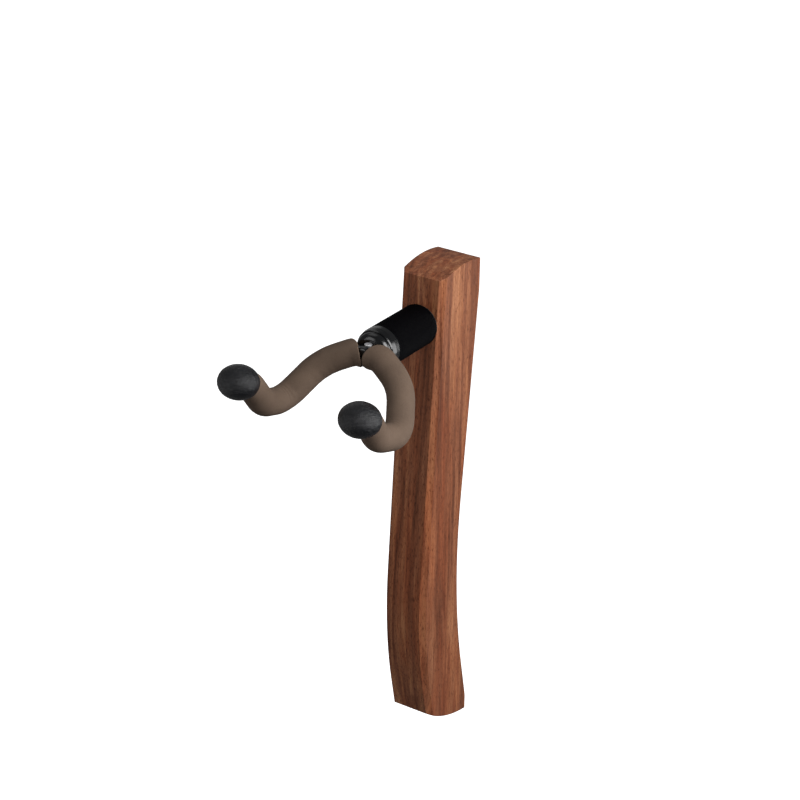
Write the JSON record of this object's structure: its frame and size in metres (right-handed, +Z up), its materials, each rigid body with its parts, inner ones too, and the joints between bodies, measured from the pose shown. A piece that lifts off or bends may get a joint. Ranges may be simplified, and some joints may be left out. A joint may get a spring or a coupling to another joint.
{
  "type": "wall guitar hanger",
  "caption": "Curved hardwood wall hanger with a swivelling padded two-arm yoke on a short black boom, for hanging a guitar by its headstock.",
  "frame": {"origin": "on the wall plane, at the top of the hanging plate's slot, where the wall screw carries the board", "axes": "+Y into the wall, +Z up, +X to the right seen from the front; the object stands out towards -Y"},
  "size_m": [0.129, 0.2259, 0.4122],
  "materials": {
    "walnut": "oiled, satin",
    "zinc_plate": "zinc plated",
    "brass_screw": "plain",
    "bumper_rubber": "matte",
    "gasket_rubber": "matte",
    "boom_black": "matte black, fine knurl",
    "collar_black": "gloss black",
    "aluminium": "turned",
    "steel": "zinc plated",
    "nylon": "natural",
    "spring_steel": "hardened",
    "rivet_steel": "bright nickel",
    "rod_steel": "plain drawn",
    "foam": "matte closed-cell foam",
    "cap_rubber": "textured, low sheen"
  },
  "bodies": {
    "board": {"back_board": "walnut", "hanging_plate": "zinc_plate", "plate_screws": "brass_screw", "wall_bumpers": "bumper_rubber", "boom_gasket": "gasket_rubber", "boom_body": "boom_black", "boom_collar": "collar_black", "boom_foot": "aluminium", "dowel_pin": "steel", "mount_bolt": "steel", "mount_washer": "steel", "head_bush": "nylon"},
    "yoke": {"swivel_head": "collar_black", "thrust_washer": "steel", "wave_washer": "spring_steel", "lock_nut": "steel", "lock_pin": "rivet_steel", "yoke_rod": "rod_steel", "foam_left": "foam", "foam_right": "foam", "cap_left": "cap_rubber", "cap_right": "cap_rubber"}
  },
  "joints": [
    {"name": "yoke_swivel", "type": "hinge", "parent": "board", "child": "yoke", "pos_m": [0, -0.05681, -0.028], "axis": [0, -0.9972, 0.0752], "continuous": true}
  ]
}
